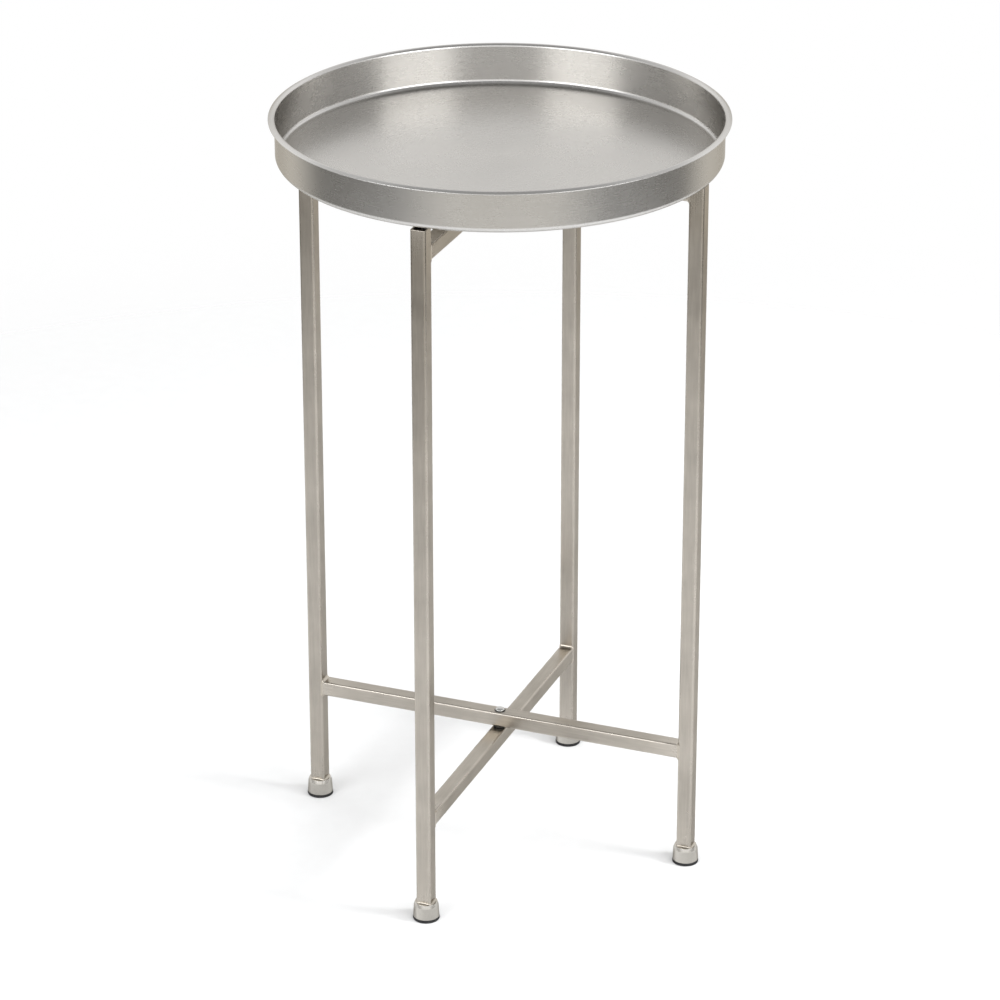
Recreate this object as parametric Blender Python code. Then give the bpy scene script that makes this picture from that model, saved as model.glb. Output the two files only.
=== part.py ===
"""Round tray table: a lift-off metal tray on a folding base.

The base is two frames of square tube. Each frame is two legs joined by a top bar and a low bar.
The main frame stands along X and carries the tray. The cross frame stands along Y, its bars pass
under the main frame's bars, and it turns about Z on two rivets to fold the base flat.

Metres, +Z up. The origin is on the floor, on the axis that the frames fold about.
"""

import math

import bmesh
import bpy
from mathutils import Vector

MM = 0.001

# ---- Driving dimensions -------------------------------------------------------------------

FRAME_HEIGHT = 600.0 * MM  # floor to the open tops of the legs
LOW_BAR_HEIGHT = 98.0 * MM  # floor to the underside of the main frame's low bar

TRAY_DIAMETER = 366.0 * MM  # across the lip
TRAY_DEPTH = 35.0 * MM  # underside to the crest of the lip
TRAY_SHEET = 0.9 * MM  # thickness of the spun sheet
TRAY_CORNER = 4.5 * MM  # bend between floor and wall, at mid-thickness
LIP_WIDTH = 5.0 * MM  # how far the lip stands out from the wall
LIP_ROLL = 2.2 * MM  # bend at the crest of the lip, at mid-thickness
LIP_DROOP = math.radians(30)  # how far the lip's outer edge dips below level

TUBE_SIDE = 12.7 * MM  # half-inch square tube
TUBE_WALL = 1.2 * MM
TUBE_CORNER = 1.6 * MM  # outside corner radius of the tube
LEG_INSET = 11.5 * MM  # from the tray's wall in to the middle of a leg

RIVET_DIAMETER = 5.0 * MM
RIVET_HEAD_DIAMETER = 8.0 * MM
RIVET_HEAD_HEIGHT = 1.9 * MM
WASHER_DIAMETER = 11.0 * MM
WASHER_THICKNESS = 1.6 * MM

SADDLE_WEB = 2.7 * MM  # metal between the tray and the bar it rides on
SADDLE_WALL = 1.8 * MM
SADDLE_DEPTH = 8.5 * MM  # how far its sides hang down past the bar's top
SADDLE_LENGTH = 30.0 * MM
SADDLE_OFFSET = 90.0 * MM  # from the fold axis out to the middle of a saddle
SADDLE_ROUNDING = 0.8 * MM

FERRULE_LIP = 0.65 * MM  # metal outside the socket's corners, at the top
FERRULE_SHOULDER = 1.0 * MM  # how much wider the body is than its top
FERRULE_FLARE = 0.6 * MM  # how much wider the body is at the bottom
FERRULE_BODY_HEIGHT = 10.2 * MM
FERRULE_SHOULDER_HEIGHT = 2.9 * MM
SHOULDER_ROUNDING = 1.2 * MM
SOCKET_DEPTH = 6.0 * MM

GLIDE_HEIGHT = 2.3 * MM  # the part that shows under the ferrule
GLIDE_OVERHANG = 0.1 * MM  # how far the glide stands out past the ferrule
GLIDE_ROUNDING = 0.7 * MM
STEM_DIAMETER = 8.0 * MM
STEM_LENGTH = 5.0 * MM

# ---- Clearances ---------------------------------------------------------------------------

SEAT_GAP = 0.3 * MM  # between pieces that rest on, or are welded to, each other
RUNNING_GAP = 0.09 * MM  # radial, round a rivet's shank
SADDLE_PLAY = 0.5 * MM  # each side, between a saddle and its bar

# ---- How finely round shapes are divided --------------------------------------------------

TRAY_SEGMENTS = 64
FOOT_SEGMENTS = 24
RIVET_SEGMENTS = 20
ARC_STEP = math.radians(24)  # the most that one short line of a fillet turns
SHARP_ANGLE = math.radians(35)

# ---- Sizes that follow from the ones above ------------------------------------------------

WALL_RADIUS = TRAY_DIAMETER / 2 - LIP_WIDTH
TRAY_FLOOR = FRAME_HEIGHT + SADDLE_WEB + 2 * SEAT_GAP  # height of the tray's underside
LEG_RADIUS = WALL_RADIUS - LEG_INSET
BAR_LENGTH = 2 * (LEG_RADIUS - TUBE_SIDE / 2 - SEAT_GAP)
BAR_SPACING = WASHER_THICKNESS + 2 * SEAT_GAP  # between the main and the cross bar
CROSS_DROP = TUBE_SIDE + BAR_SPACING
HOLE_RADIUS = RIVET_DIAMETER / 2 + RUNNING_GAP

SOCKET_SIDE = TUBE_SIDE + 2 * SEAT_GAP
SOCKET_CORNER = TUBE_CORNER + SEAT_GAP
SOCKET_REACH = SOCKET_SIDE / math.sqrt(2) - SOCKET_CORNER * (math.sqrt(2) - 1)
FERRULE_TOP_RADIUS = SOCKET_REACH + FERRULE_LIP
FERRULE_BODY_RADIUS = FERRULE_TOP_RADIUS + FERRULE_SHOULDER
FERRULE_BASE_RADIUS = FERRULE_BODY_RADIUS + FERRULE_FLARE
FERRULE_BOTTOM = GLIDE_HEIGHT + SEAT_GAP
FERRULE_TOP = FERRULE_BOTTOM + FERRULE_BODY_HEIGHT + FERRULE_SHOULDER_HEIGHT
SOCKET_FLOOR = FERRULE_TOP - SOCKET_DEPTH
STEM_BORE_RADIUS = STEM_DIAMETER / 2 + SEAT_GAP
LEG_BOTTOM = SOCKET_FLOOR + SEAT_GAP


# ---- Outlines -----------------------------------------------------------------------------


def arc_points(start, end, centre):
    """Points from start to end round centre, the short way, both ends included."""
    first, last = start - centre, end - centre
    turn = first.angle_signed(last)
    steps = max(1, math.ceil(abs(turn) / ARC_STEP - 1e-6))
    points = []
    for i in range(steps + 1):
        angle = -turn * i / steps
        cos, sin = math.cos(angle), math.sin(angle)
        points.append(centre + Vector((first.x * cos - first.y * sin, first.x * sin + first.y * cos)))
    return points


def filleted(corners, closed=True):
    """The outline through corners, each (x, y, fillet radius), with an arc at each rounded one."""
    spots = [Vector(corner[:2]) for corner in corners]
    outline = []
    for i, (spot, corner) in enumerate(zip(spots, corners)):
        radius = corner[2]
        at_an_end = not closed and i in (0, len(spots) - 1)
        if radius == 0 or at_an_end:
            outline.append(spot)
            continue
        back = (spots[i - 1] - spot).normalized()
        ahead = (spots[(i + 1) % len(spots)] - spot).normalized()
        half = back.angle(ahead) / 2
        centre = spot + (back + ahead).normalized() * radius / math.sin(half)
        reach = radius / math.tan(half)
        outline += arc_points(spot + back * reach, spot + ahead * reach, centre)
    return outline


def thickened(path, thickness):
    """The closed outline of a sheet of this thickness whose middle follows path."""
    left, right = [], []
    for i, point in enumerate(path):
        before = (point - path[i - 1]).normalized() if i else None
        after = (path[i + 1] - point).normalized() if i + 1 < len(path) else None
        along = ((before or after) + (after or before)).normalized()
        across = Vector((-along.y, along.x))
        stretch = along.dot(after or before)
        left.append(point + across * thickness / 2 / stretch)
        right.append(point - across * thickness / 2 / stretch)
    return right + left[::-1]


def square_ring(side, corner, height, steps):
    """A rounded square about Z at this height, with steps + 1 points on each corner's arc."""
    middle = side / 2 - corner
    ring = []
    for quarter in range(4):
        centre_angle = math.pi / 4 + quarter * math.pi / 2
        x = math.copysign(middle, math.cos(centre_angle))
        y = math.copysign(middle, math.sin(centre_angle))
        for i in range(steps + 1):
            angle = centre_angle + (i / steps - 0.5) * math.pi / 2
            ring.append(Vector((x + corner * math.cos(angle), y + corner * math.sin(angle), height)))
    return ring


# ---- Meshes -------------------------------------------------------------------------------


def finished(name, bm):
    """A mesh from bm with its faces pointing out, shaded smooth between its sharp edges."""
    bmesh.ops.recalc_face_normals(bm, faces=bm.faces)
    mesh = bpy.data.meshes.new(name)
    bm.to_mesh(mesh)
    bm.free()
    mesh.shade_smooth()
    mesh.set_sharp_from_angle(angle=SHARP_ANGLE)
    return mesh


def turned(name, outline, segments):
    """A solid turned about Z from a closed outline of (radius, height) points."""
    bm = bmesh.new()
    verts = [bm.verts.new((point.x, 0, point.y)) for point in outline]
    edges = []
    for first, second in zip(verts, verts[1:] + verts[:1]):
        on_axis = first.co.x == 0 and second.co.x == 0
        if not on_axis:
            edges.append(bm.edges.new((first, second)))
    bmesh.ops.spin(
        bm, geom=verts + edges, axis=(0, 0, 1), cent=(0, 0, 0), angle=2 * math.pi, steps=segments, use_merge=True
    )
    bmesh.ops.remove_doubles(bm, verts=bm.verts, dist=0.001 * MM)
    return finished(name, bm)


def ringed(name, rings):
    """A solid with a hole through it, whose skin passes through each ring and back to the first."""
    bm = bmesh.new()
    loops = [[bm.verts.new(point) for point in ring] for ring in rings]
    for near, far in zip(loops, loops[1:] + loops[:1]):
        for i in range(len(near)):
            bm.faces.new((near[i - 1], near[i], far[i], far[i - 1]))
    return finished(name, bm)


def tube_mesh(name, length):
    """Square tube standing on the origin, open at both ends."""
    steps = 3
    bore_side = TUBE_SIDE - 2 * TUBE_WALL
    bore_corner = max(TUBE_CORNER - TUBE_WALL, TUBE_CORNER / 4)
    return ringed(
        name,
        [
            square_ring(TUBE_SIDE, TUBE_CORNER, 0, steps),
            square_ring(TUBE_SIDE, TUBE_CORNER, length, steps),
            square_ring(bore_side, bore_corner, length, steps),
            square_ring(bore_side, bore_corner, 0, steps),
        ],
    )


def ferrule_mesh():
    """Round shoe with a square socket on top for the leg and a round bore below for the glide."""
    shoulder = FERRULE_BOTTOM + FERRULE_BODY_HEIGHT
    skin = filleted(
        [
            (STEM_BORE_RADIUS, SOCKET_FLOOR, 0),
            (STEM_BORE_RADIUS, FERRULE_BOTTOM, 0),
            (FERRULE_BASE_RADIUS, FERRULE_BOTTOM, 0),
            (FERRULE_BODY_RADIUS, shoulder, SHOULDER_ROUNDING),
            (FERRULE_TOP_RADIUS, FERRULE_TOP, 0),
        ],
        closed=False,
    )
    rings = []
    for point in skin:
        angles = [(i + 0.5) * 2 * math.pi / FOOT_SEGMENTS for i in range(FOOT_SEGMENTS)]
        rings.append([Vector((point.x * math.cos(a), point.x * math.sin(a), point.y)) for a in angles])
    steps = FOOT_SEGMENTS // 4 - 1
    rings.append(square_ring(SOCKET_SIDE, SOCKET_CORNER, FERRULE_TOP, steps))
    rings.append(square_ring(SOCKET_SIDE, SOCKET_CORNER, SOCKET_FLOOR, steps))
    return ringed("ferrule", rings)


def glide_mesh():
    """Round pad on the floor, with a stem that is pressed up into the ferrule."""
    radius = FERRULE_BASE_RADIUS + GLIDE_OVERHANG
    stem = STEM_DIAMETER / 2
    top = GLIDE_HEIGHT + STEM_LENGTH
    outline = filleted(
        [
            (0, 0, 0),
            (radius, 0, GLIDE_ROUNDING),
            (radius, GLIDE_HEIGHT, 0),
            (stem, GLIDE_HEIGHT, 0),
            (stem, top, GLIDE_ROUNDING),
            (0, top, 0),
        ]
    )
    return turned("glide", outline, FOOT_SEGMENTS)


def rivet_mesh():
    """Rivet through a main bar, a washer and a cross bar, hung from the top of the main bar."""
    shank = RIVET_DIAMETER / 2
    head = RIVET_HEAD_DIAMETER / 2
    under_head = SEAT_GAP
    over_foot = -(2 * TUBE_SIDE + BAR_SPACING) - SEAT_GAP
    rim = RIVET_HEAD_HEIGHT / 3
    steps = 4
    dome = []
    for i in range(steps + 1):
        angle = i / steps * math.pi / 2
        dome.append(Vector((head * math.cos(angle), rim + (RIVET_HEAD_HEIGHT - rim) * math.sin(angle))))
    dome[-1].x = 0
    outline = [Vector((shank, under_head)), Vector((head, under_head))]
    outline += [Vector((point.x, under_head + point.y)) for point in dome]
    outline += [Vector((point.x, over_foot - point.y)) for point in reversed(dome)]
    outline += [Vector((head, over_foot)), Vector((shank, over_foot))]
    return turned("rivet", outline, RIVET_SEGMENTS)


def washer_mesh():
    """Flat washer, its middle at the origin's height."""
    inner, outer = HOLE_RADIUS, WASHER_DIAMETER / 2
    half = WASHER_THICKNESS / 2
    outline = [Vector((inner, -half)), Vector((outer, -half)), Vector((outer, half)), Vector((inner, half))]
    return turned("washer", outline, RIVET_SEGMENTS)


def tray_mesh():
    """Spun pan: flat floor, upright wall, and a lip rolled outwards and a little down."""
    wall = WALL_RADIUS - TRAY_SHEET / 2
    floor = TRAY_SHEET / 2
    crest = TRAY_DEPTH - TRAY_SHEET / 2
    half_turn = (math.pi / 2 - LIP_DROOP) / 2
    lip_corner = crest + LIP_ROLL / math.tan(half_turn) - LIP_ROLL
    edge = TRAY_DIAMETER / 2 - TRAY_SHEET / 2 * math.sin(LIP_DROOP)
    edge_height = lip_corner - (edge - wall) * math.tan(LIP_DROOP)
    path = filleted(
        [(0, floor, 0), (wall, floor, TRAY_CORNER), (wall, lip_corner, LIP_ROLL), (edge, edge_height, 0)],
        closed=False,
    )
    return turned("tray_pan", thickened(path, TRAY_SHEET), TRAY_SEGMENTS)


def saddle_mesh():
    """Upside-down channel along X that sits over the main top bar. Its top is at height 0."""
    inner = TUBE_SIDE / 2 + SADDLE_PLAY
    outer = inner + SADDLE_WALL
    web = -SADDLE_WEB
    foot = web - SEAT_GAP - SADDLE_DEPTH
    outline = filleted(
        [
            (-outer, 0, SADDLE_ROUNDING),
            (-outer, foot, 0),
            (-inner, foot, 0),
            (-inner, web, 0),
            (inner, web, 0),
            (inner, foot, 0),
            (outer, foot, 0),
            (outer, 0, SADDLE_ROUNDING),
        ]
    )
    bm = bmesh.new()
    start = [bm.verts.new((-SADDLE_LENGTH / 2, point.x, point.y)) for point in outline]
    face = bm.faces.new(start)
    grown = bmesh.ops.extrude_face_region(bm, geom=[face])["geom"]
    moved = [item for item in grown if isinstance(item, bmesh.types.BMVert)]
    bmesh.ops.translate(bm, verts=moved, vec=(SADDLE_LENGTH, 0, 0))
    return finished("saddle", bm)


# ---- Objects ------------------------------------------------------------------------------


def clear_scene():
    for obj in list(bpy.data.objects):
        bpy.data.objects.remove(obj, do_unlink=True)


def add_material(name, colour, roughness, metallic):
    """A Principled material of one colour."""
    material = bpy.data.materials.new(name)
    material.use_nodes = True
    shader = material.node_tree.nodes["Principled BSDF"]
    shader.inputs["Base Color"].default_value = (*colour, 1.0)
    shader.inputs["Roughness"].default_value = roughness
    shader.inputs["Metallic"].default_value = metallic
    return material


def add_object(name, mesh, material, parent, location=(0, 0, 0), rotation=(0, 0, 0)):
    """An object named name, placed from its parent. Copies of a piece share its mesh."""
    obj = bpy.data.objects.new(name, mesh)
    bpy.context.scene.collection.objects.link(obj)
    if not mesh.materials:
        mesh.materials.append(material)
    obj.parent = parent
    obj.location = location
    obj.rotation_euler = rotation
    return obj


def add_empty(name, location=(0, 0, 0), turn=0.0):
    empty = bpy.data.objects.new(name, None)
    bpy.context.scene.collection.objects.link(empty)
    empty.location = location
    empty.rotation_euler = (0, 0, turn)
    return empty


def add_drill(name, top):
    """A cutter that goes down from top through a main bar and the cross bar under it."""
    overrun = BAR_SPACING / 2
    bm = bmesh.new()
    length = 2 * TUBE_SIDE + BAR_SPACING + 2 * overrun
    bmesh.ops.create_cone(
        bm, cap_ends=True, segments=RIVET_SEGMENTS, radius1=HOLE_RADIUS, radius2=HOLE_RADIUS, depth=length
    )
    bmesh.ops.recalc_face_normals(bm, faces=bm.faces)
    mesh = bpy.data.meshes.new(name)
    bm.to_mesh(mesh)
    bm.free()
    drill = bpy.data.objects.new(name, mesh)
    bpy.context.scene.collection.objects.link(drill)
    drill.location = (0, 0, top + overrun - length / 2)
    drill.hide_render = True
    drill.display_type = "WIRE"
    return drill


def drilled(bar, drill):
    cut = bar.modifiers.new("rivet_hole", "BOOLEAN")
    cut.operation = "DIFFERENCE"
    cut.solver = "EXACT"
    cut.object = drill


def add_frame(prefix, pivot, ends, drop, drills, meshes, nickel, rubber):
    """Two legs with their feet, and the bars between them, which sit lower by drop."""
    for end, side in zip(ends, (-1, 1)):
        spot = (side * LEG_RADIUS, 0, 0)
        foot_of_leg = (side * LEG_RADIUS, 0, LEG_BOTTOM)
        add_object(f"{prefix}_leg_{end}", meshes["leg"], nickel, pivot, foot_of_leg)
        add_object(f"{prefix}_ferrule_{end}", meshes["ferrule"], nickel, pivot, spot)
        add_object(f"{prefix}_glide_{end}", meshes["glide"], rubber, pivot, spot)
    along_x = (0, math.pi / 2, 0)
    heights = {"top": FRAME_HEIGHT - TUBE_SIDE / 2, "low": LOW_BAR_HEIGHT + TUBE_SIDE / 2}
    for level, height in heights.items():
        start = (-BAR_LENGTH / 2, 0, height - drop)
        bar = add_object(f"{prefix}_{level}_bar", meshes["bar"], nickel, pivot, start, along_x)
        drilled(bar, drills[level])


def add_joint(level, bar_top, parent, meshes, steel):
    """The rivet and the washer that hold a main bar to the cross bar below it."""
    add_object(f"{level}_rivet", meshes["rivet"], steel, parent, (0, 0, bar_top))
    between = bar_top - TUBE_SIDE - BAR_SPACING / 2
    add_object(f"{level}_washer", meshes["washer"], steel, parent, (0, 0, between))


def add_tray(pivot, meshes, nickel):
    """The pan, and the two saddles under it that drop over the main top bar."""
    add_object("tray_pan", meshes["tray"], nickel, pivot)
    for end, side in (("left", -1), ("right", 1)):
        spot = (side * SADDLE_OFFSET, 0, -SEAT_GAP)
        add_object(f"tray_saddle_{end}", meshes["saddle"], nickel, pivot, spot)


def main():
    clear_scene()
    nickel = add_material("satin_nickel", (0.56, 0.53, 0.48), 0.34, 1.0)
    steel = add_material("bright_steel", (0.66, 0.65, 0.63), 0.22, 1.0)
    rubber = add_material("black_rubber", (0.015, 0.015, 0.016), 0.6, 0.0)

    meshes = {
        "leg": tube_mesh("leg", FRAME_HEIGHT - LEG_BOTTOM),
        "bar": tube_mesh("bar", BAR_LENGTH),
        "ferrule": ferrule_mesh(),
        "glide": glide_mesh(),
        "rivet": rivet_mesh(),
        "washer": washer_mesh(),
        "tray": tray_mesh(),
        "saddle": saddle_mesh(),
    }
    bar_tops = {"top": FRAME_HEIGHT, "low": LOW_BAR_HEIGHT + TUBE_SIDE}
    drills = {level: add_drill(f"{level}_drill", height) for level, height in bar_tops.items()}

    main_frame = add_empty("main_frame")
    add_frame("main", main_frame, ("left", "right"), 0, drills, meshes, nickel, rubber)
    for level, height in bar_tops.items():
        add_joint(level, height, main_frame, meshes, steel)

    cross_frame = add_empty("cross_frame", turn=math.pi / 2)
    add_frame("cross", cross_frame, ("front", "back"), CROSS_DROP, drills, meshes, nickel, rubber)

    tray = add_empty("tray", location=(0, 0, TRAY_FLOOR))
    add_tray(tray, meshes, nickel)


main()
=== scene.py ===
# %% [markdown]
# # A round tray table on a folding base
#
# The real table is a spun metal tray that lifts off a base of square tube. The base is two
# frames that cross and turn on two rivets. Every part is plated in satin nickel except the
# rivets, which stay bright, the dark washers between the frames, and the feet, which are black
# rubber.
#
# The measured model comes first, as a fixed frame. Each visible part is then made again around
# it with the small things that a measured model leaves out: rolled and dressed edges, welds,
# tool marks and brushing. Nothing changes size, so the box round the measured model is kept here.

import math

import bmesh
import bpy
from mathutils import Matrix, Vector


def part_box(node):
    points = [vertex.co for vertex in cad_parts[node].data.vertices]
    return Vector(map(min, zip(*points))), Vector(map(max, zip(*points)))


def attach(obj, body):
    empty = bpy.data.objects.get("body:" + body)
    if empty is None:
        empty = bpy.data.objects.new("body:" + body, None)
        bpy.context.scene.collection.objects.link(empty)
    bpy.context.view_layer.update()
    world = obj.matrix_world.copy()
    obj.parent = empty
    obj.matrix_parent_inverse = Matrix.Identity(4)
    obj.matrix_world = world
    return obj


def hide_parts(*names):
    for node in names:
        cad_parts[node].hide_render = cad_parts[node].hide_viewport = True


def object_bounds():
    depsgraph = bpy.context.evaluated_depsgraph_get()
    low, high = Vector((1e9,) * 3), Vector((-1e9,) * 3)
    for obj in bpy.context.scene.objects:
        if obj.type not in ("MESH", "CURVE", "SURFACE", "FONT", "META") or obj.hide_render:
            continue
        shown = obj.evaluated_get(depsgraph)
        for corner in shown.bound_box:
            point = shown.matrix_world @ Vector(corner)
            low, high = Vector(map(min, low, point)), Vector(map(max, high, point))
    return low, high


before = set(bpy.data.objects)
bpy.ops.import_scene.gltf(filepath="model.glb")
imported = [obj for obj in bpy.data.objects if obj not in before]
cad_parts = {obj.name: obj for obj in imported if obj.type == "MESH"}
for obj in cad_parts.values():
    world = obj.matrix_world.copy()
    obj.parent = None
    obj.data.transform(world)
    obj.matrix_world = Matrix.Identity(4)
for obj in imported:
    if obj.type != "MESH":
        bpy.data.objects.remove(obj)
measured_low, measured_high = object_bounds()
print("measured box, mm:", [round(size * 1000, 1) for size in measured_high - measured_low])

# %% [markdown]
# ## Reading places from the measured model
#
# A part could be placed by typing its numbers again, but then the two models could drift apart.
# Here every place comes from the box round a measured part, so the looks follow the sizes. Only
# what a box can't tell, such as a corner's radius or the thickness of a wall, is a named value.

# %% Helpers that read a part's place
MM = 0.001


def middle(part):
    """The middle of a measured part's box."""
    low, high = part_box(part)
    return (low + high) / 2


def extent(part):
    """The size of a measured part's box along X, Y and Z."""
    low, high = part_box(part)
    return high - low


def underside(part):
    """The middle of the bottom of a measured part's box."""
    spot = middle(part)
    spot.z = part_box(part)[0].z
    return spot


def upside(part):
    """The middle of the top of a measured part's box."""
    spot = middle(part)
    spot.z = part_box(part)[1].z
    return spot


leg_size = extent("main_leg_left")
bar_size = extent("main_top_bar")
tray_size = extent("tray_pan")
print("leg, mm:", [round(size / MM, 1) for size in leg_size])
print("bar, mm:", [round(size / MM, 1) for size in bar_size])
print("tray, mm:", [round(size / MM, 1) for size in tray_size])

# %% [markdown]
# ## Camera
#
# Furniture is usually shown from a little above eye level of someone seated, with a fairly long
# lens so that upright legs stay nearly parallel. The camera looks at a point on the fold axis,
# just under the middle, from the front and a little to the right. It has no shift and no blur
# with distance, so any other view of the same scene is sharp and centred too.

# %% Camera
VIEW_AZIMUTH = math.radians(21.2)  # round to the right of straight ahead
VIEW_ELEVATION = math.radians(24.2)
VIEW_DISTANCE = 3.4
LENS = 149.0
AIM_DROP = 15 * MM  # how far under the table's middle the camera looks


def toward(azimuth, elevation):
    """The direction from the table toward someone at this azimuth and elevation."""
    flat = math.cos(elevation)
    return Vector((math.sin(azimuth) * flat, -math.cos(azimuth) * flat, math.sin(elevation)))


aim = (measured_low + measured_high) / 2 - Vector((0, 0, AIM_DROP))
camera_data = bpy.data.cameras.new("view")
camera_data.lens = LENS
camera_data.sensor_width = 36.0
camera_data.dof.use_dof = False
camera = bpy.data.objects.new("view", camera_data)
bpy.context.scene.collection.objects.link(camera)
to_camera = toward(VIEW_AZIMUTH, VIEW_ELEVATION)
camera.location = aim + to_camera * VIEW_DISTANCE
camera.rotation_mode = "QUATERNION"
camera.rotation_quaternion = to_camera.to_track_quat("Z", "Y")
bpy.context.scene.camera = camera
bpy.context.scene.view_settings.view_transform = "Standard"
print("camera at, m:", [round(value, 3) for value in camera.location])

# %% [markdown]
# ## Studio
#
# Metal shows what is round it more than it shows itself, so the studio matters as much as the
# material. Satin nickel looks right when a pale backdrop, two softboxes and some darkness at the
# sides run together in it. The backdrop is the world: pale behind the table and in front of it,
# darker to the left and right, where the dark gives each tube and the tray's wall their edges.
# Its lower half is warmer, as a floor is. High in front and overhead it is dim, so that the lip
# and the tight bends get a thin dark line beside each bright one. What the camera itself sees
# past the floor is one plain pale tone.
#
# The room could be a painted picture on a sphere, but a few smooth blends over the direction of
# a ray do the same, need no file, and can be tuned one band at a time.

# %% Helpers for node graphs
def join(tree, value, socket):
    """Puts a value or another node's output into a socket."""
    if isinstance(value, bpy.types.NodeSocket):
        tree.links.new(value, socket)
    else:
        socket.default_value = value


def node(tree, kind, inputs=None, **settings):
    """A new node with its settings and its inputs filled in."""
    made = tree.nodes.new(kind)
    for name, value in settings.items():
        setattr(made, name, value)
    for name, value in (inputs or {}).items():
        join(tree, value, made.inputs[name])
    return made


def maths(tree, operation, first, second=0.0):
    """The result of one sum on two numbers or outputs."""
    return node(tree, "ShaderNodeMath", {0: first, 1: second}, operation=operation).outputs[0]


def vectors(tree, operation, first, second=(0.0, 0.0, 0.0), result="Vector"):
    """The result of one sum on two directions or points."""
    made = node(tree, "ShaderNodeVectorMath", {0: first, 1: second}, operation=operation)
    return made.outputs[result]


def spread(tree, value, low, high, to_low, to_high, smooth=False):
    """Moves a value from one range to another, and holds it at the ends."""
    inputs = {"Value": value, "From Min": low, "From Max": high, "To Min": to_low, "To Max": to_high}
    kind = "SMOOTHSTEP" if smooth else "LINEAR"
    return node(tree, "ShaderNodeMapRange", inputs, interpolation_type=kind).outputs["Result"]


def tones(tree, value, stops):
    """A colour for a value from 0 to 1, through stops of (place, colour)."""
    ramp = node(tree, "ShaderNodeValToRGB", {"Fac": value})
    elements = ramp.color_ramp.elements
    while len(elements) < len(stops):
        elements.new(0.5)
    for element, (place, colour) in zip(elements, stops):
        element.position = place
        element.color = (*colour, 1.0)
    return ramp.outputs["Color"]


print("node helpers ready")

# %% The tones of the room
BACKDROP_SEEN = 1.0  # what the camera sees past the floor

# What the metal sees below and above its own height.
BACKDROP = (1.0, 1.2)
SIDES = (0.17, 0.78)
FRONT = (0.62, 1.3)
WARMTH = ((1.0, 0.955, 0.87), (1.0, 1.0, 1.0))

# What it sees high up: over the camera, over the backdrop, and straight overhead.
HIGH_FRONT = 0.2
HIGH_BACK = 0.7
OVERHEAD = 0.4

# Where each band starts and ends, from 0 straight behind the table to 1 straight in front.
BEHIND_ENDS = 0.15
SIDE_STARTS = 0.37
SIDE_ENDS = 0.8
AHEAD_STARTS = 0.96

# Heights between which one tone blends into the next. A ray's height is the sine of its slope.
AT_TABLE = (-0.08, 0.08)
HIGH_UP = (0.56, 0.7)
NEAR_TOP = (0.84, 0.93)

# The same for how far a ray points toward the camera, from -1 to 1.
BACK_TO_FRONT = (-0.3, 0.3)
print("backdrop", BACKDROP, "sides", SIDES, "front", FRONT)

# %% The room, as the world
world = bpy.data.worlds.new("studio")
world.use_nodes = True
bpy.context.scene.world = world
air = world.node_tree
air.nodes.clear()
ray = node(air, "ShaderNodeTexCoord").outputs["Generated"]
level_ray = vectors(air, "NORMALIZE", vectors(air, "MULTIPLY", ray, (1.0, 1.0, 0.0)))
facing = vectors(air, "DOT_PRODUCT", level_ray, tuple(toward(VIEW_AZIMUTH, 0)), "Value")
turned_to = spread(air, facing, -1.0, 1.0, 0.0, 1.0)
height = node(air, "ShaderNodeSeparateXYZ", {0: ray}).outputs["Z"]


def grey(tone):
    """A colour with no hue."""
    return (tone, tone, tone, 1.0)


def blend_between(first, last, value, limits):
    """The first colour where the value is under both limits, the last where it is over them."""
    share = spread(air, value, *limits, 0.0, 1.0, smooth=True)
    mixed = node(air, "ShaderNodeMix", {"Factor": share, 6: first, 7: last}, data_type="RGBA")
    return mixed.outputs[2]


halves = []
for behind, side, ahead, warmth in zip(BACKDROP, SIDES, FRONT, WARMTH):
    places = (BEHIND_ENDS, SIDE_STARTS, SIDE_ENDS, AHEAD_STARTS)
    stops = []
    for place, tone in zip(places, (behind, side, side, ahead)):
        stops.append((place, tuple(tone * share for share in warmth)))
    halves.append(tones(air, turned_to, stops))
room = blend_between(*halves, height, AT_TABLE)
high_room = blend_between(grey(HIGH_BACK), grey(HIGH_FRONT), facing, BACK_TO_FRONT)
dimmed = blend_between(room, high_room, height, HIGH_UP)
whole = blend_between(dimmed, grey(OVERHEAD), height, NEAR_TOP)
lit = node(air, "ShaderNodeBackground", {"Color": whole, "Strength": 1.0})
plain = node(air, "ShaderNodeBackground", {"Color": grey(1.0), "Strength": BACKDROP_SEEN})
seen = node(air, "ShaderNodeLightPath").outputs["Is Camera Ray"]
either = node(air, "ShaderNodeMixShader", {0: seen, 1: lit.outputs[0], 2: plain.outputs[0]})
node(air, "ShaderNodeOutputWorld", {"Surface": either.outputs[0]})
print("nodes in the world:", len(air.nodes))

# %% [markdown]
# Softboxes are area lights. Two stand in front of the table, one to each side of the camera, and
# show as soft bright bands inside the tray's wall. A small one on the right gives the feet their
# soft shadows, and a wide one overhead lights the floor. Those last two are hidden from the
# metal, where they would draw hard white lines along the lip.

# %% Softboxes
DAYLIGHT = (0.99, 1.0, 1.01)


def softbox(name, azimuth, elevation, distance, width, height, watts, mirrored=True):
    """A rectangle of light that faces the table. mirrored says whether the metal shows it."""
    light = bpy.data.lights.new(name, "AREA")
    light.shape = "RECTANGLE"
    light.size = width
    light.size_y = height
    light.energy = watts
    light.color = DAYLIGHT
    lamp = bpy.data.objects.new(name, light)
    bpy.context.scene.collection.objects.link(lamp)
    direction = toward(azimuth, elevation)
    lamp.location = aim + direction * distance
    lamp.rotation_mode = "QUATERNION"
    lamp.rotation_quaternion = direction.to_track_quat("Z", "Y")
    lamp.visible_glossy = mirrored


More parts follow.
